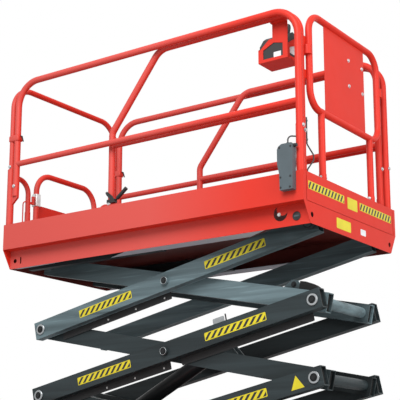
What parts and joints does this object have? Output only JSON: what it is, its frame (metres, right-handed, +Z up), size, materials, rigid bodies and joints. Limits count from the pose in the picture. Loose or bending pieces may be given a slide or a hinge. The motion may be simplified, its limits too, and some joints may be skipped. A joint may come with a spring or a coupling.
{
  "type": "scissor_lift",
  "caption": "Electric slab scissor lift with a roll-out deck, red platform and guard rails on slate scissor arms, raised part way",
  "frame": {"origin": "on the floor under the middle of the machine's overall box", "axes": "+X forward towards the control end and the roll-out deck, +Y to the machine's left, +Z up"},
  "size_m": [2.36, 1.19, 2.9314],
  "materials": {
    "red_paint": "semi-gloss red paint",
    "slate_paint": "satin slate paint",
    "dark_paint": "satin dark grey paint",
    "bare_steel": "zinc-plated steel",
    "rod_chrome": "hard chrome",
    "tyre_rubber": "solid non-marking rubber",
    "black_plastic": "matt black plastic",
    "grey_plastic": "satin blue-grey plastic",
    "black_paint": "satin black paint"
  },
  "bodies": {
    "chassis": {"chassis_frame": "dark_paint", "fenders": "dark_paint", "base_tracks": "dark_paint", "front_axle": "dark_paint", "rear_axle": "bare_steel", "ladder": "red_paint", "pothole_guards": "dark_paint", "ground_panel": "black_plastic"},
    "steer_right": {"knuckle_right": "dark_paint"},
    "steer_left": {"knuckle_left": "dark_paint"},
    "wheel_fr": {"tyre_fr": "tyre_rubber", "rim_fr": "bare_steel"},
    "wheel_fl": {"tyre_fl": "tyre_rubber", "rim_fl": "bare_steel"},
    "wheel_rr": {"tyre_rr": "tyre_rubber", "rim_rr": "bare_steel"},
    "wheel_rl": {"tyre_rl": "tyre_rubber", "rim_rl": "bare_steel"},
    "door_right": {"tray_right": "red_paint", "battery_pack": "black_plastic"},
    "door_left": {"tray_left": "red_paint", "hydraulic_unit": "bare_steel"},
    "scissor_inner_1": {"inner_arms_1": "slate_paint"},
    "scissor_outer_1": {"outer_arms_1": "slate_paint"},
    "scissor_inner_2": {"inner_arms_2": "slate_paint"},
    "scissor_outer_2": {"outer_arms_2": "slate_paint"},
    "scissor_inner_3": {"inner_arms_3": "slate_paint"},
    "scissor_outer_3": {"outer_arms_3": "slate_paint"},
    "cylinder_barrel": {"lift_barrel": "black_paint"},
    "cylinder_rod": {"lift_rod": "rod_chrome"},
    "platform": {"platform_deck": "red_paint", "deck_tracks": "dark_paint", "rail_right": "red_paint", "rail_left": "red_paint", "rail_rear": "red_paint", "socket_box": "grey_plastic", "socket_cable": "black_plastic"},
    "entry_gate": {"gate": "red_paint"},
    "extension": {"ext_deck": "red_paint", "ext_rail_right": "red_paint", "ext_rail_left": "red_paint", "front_loop": "red_paint", "front_sheet": "red_paint", "control_guard": "red_paint", "control_unit": "black_plastic", "control_cable": "black_plastic", "lock_lever": "black_plastic"}
  },
  "joints": [
    {"name": "lift", "type": "hinge", "parent": "chassis", "child": "scissor_inner_1", "pos_m": [1.072, 0, 0.43], "axis": [0, 1, 0], "range_deg": [-8.4, 46]},
    {"name": "centre_1", "type": "hinge", "parent": "scissor_inner_1", "child": "scissor_outer_1", "pos_m": [0.07196, 0, 0.64074], "axis": [0, -1, 0], "range_deg": [-16.8, 92]},
    {"name": "front_1", "type": "hinge", "parent": "scissor_outer_1", "child": "scissor_inner_2", "pos_m": [1.072, 0, 0.85148], "axis": [0, 1, 0], "range_deg": [-16.8, 92]},
    {"name": "centre_2", "type": "hinge", "parent": "scissor_inner_2", "child": "scissor_outer_2", "pos_m": [0.07196, 0, 1.06222], "axis": [0, -1, 0], "range_deg": [-16.8, 92]},
    {"name": "front_2", "type": "hinge", "parent": "scissor_outer_2", "child": "scissor_inner_3", "pos_m": [1.072, 0, 1.27296], "axis": [0, 1, 0], "range_deg": [-16.8, 92]},
    {"name": "centre_3", "type": "hinge", "parent": "scissor_inner_3", "child": "scissor_outer_3", "pos_m": [0.07196, 0, 1.4837], "axis": [0, -1, 0], "range_deg": [-16.8, 92]},
    {"name": "platform_pivot", "type": "hinge", "parent": "scissor_outer_3", "child": "platform", "pos_m": [1.072, 0, 1.69444], "axis": [0, 1, 0], "range_deg": [-8.4, 46]},
    {"name": "cylinder_foot", "type": "hinge", "parent": "scissor_inner_1", "child": "cylinder_barrel", "pos_m": [-0.44958, 0, 0.75065], "axis": [0, -1, 0], "range_deg": [-16.38, 89.7]},
    {"name": "cylinder_slide", "type": "slide", "parent": "cylinder_barrel", "child": "cylinder_rod", "axis": [0.8885, 0, 0.4588], "range_m": [-0.0843, 0.46164]},
    {"name": "roll_out", "type": "slide", "parent": "platform", "child": "extension", "axis": [1, 0, 0], "range_m": [0, 0.9]},
    {"name": "gate_hinge", "type": "hinge", "parent": "platform", "child": "entry_gate", "pos_m": [-1.059, -0.327, 1.94444], "axis": [0, 0, -1], "range_deg": [0, 90]},
    {"name": "tray_hinge_right", "type": "hinge", "parent": "chassis", "child": "door_right", "pos_m": [0.514, -0.575, 0.36], "axis": [0, 0, 1], "range_deg": [0, 95]},
    {"name": "tray_hinge_left", "type": "hinge", "parent": "chassis", "child": "door_left", "pos_m": [0.514, 0.575, 0.36], "axis": [0, 0, -1], "range_deg": [0, 95]},
    {"name": "steering", "type": "hinge", "parent": "chassis", "child": "steer_right", "pos_m": [0.9, -0.42, 0.1905], "axis": [0, 0, 1], "range_deg": [-55, 55]},
    {"name": "steering_left", "type": "hinge", "parent": "chassis", "child": "steer_left", "pos_m": [0.9, 0.42, 0.1905], "axis": [0, 0, 1], "range_deg": [-55, 55]},
    {"name": "spin_fr", "type": "hinge", "parent": "steer_right", "child": "wheel_fr", "pos_m": [0.9, -0.5265, 0.1905], "axis": [0, 1, 0], "continuous": true},
    {"name": "spin_fl", "type": "hinge", "parent": "steer_left", "child": "wheel_fl", "pos_m": [0.9, 0.5265, 0.1905], "axis": [0, 1, 0], "continuous": true},
    {"name": "spin_rr", "type": "hinge", "parent": "chassis", "child": "wheel_rr", "pos_m": [-0.88, -0.5265, 0.1905], "axis": [0, 1, 0], "continuous": true},
    {"name": "spin_rl", "type": "hinge", "parent": "chassis", "child": "wheel_rl", "pos_m": [-0.88, 0.5265, 0.1905], "axis": [0, 1, 0], "continuous": true}
  ],
  "couplings": [
    {"joint": "centre_1", "follows": "lift", "ratio": 2},
    {"joint": "front_1", "follows": "lift", "ratio": 2},
    {"joint": "centre_2", "follows": "lift", "ratio": 2},
    {"joint": "front_2", "follows": "lift", "ratio": 2},
    {"joint": "centre_3", "follows": "lift", "ratio": 2},
    {"joint": "platform_pivot", "follows": "lift", "ratio": 1},
    {"joint": "cylinder_foot", "follows": "lift", "ratio": 1.95},
    {"joint": "cylinder_slide", "follows": "lift", "m_per_rad": 0.575},
    {"joint": "steering_left", "follows": "steering", "ratio": 1}
  ]
}
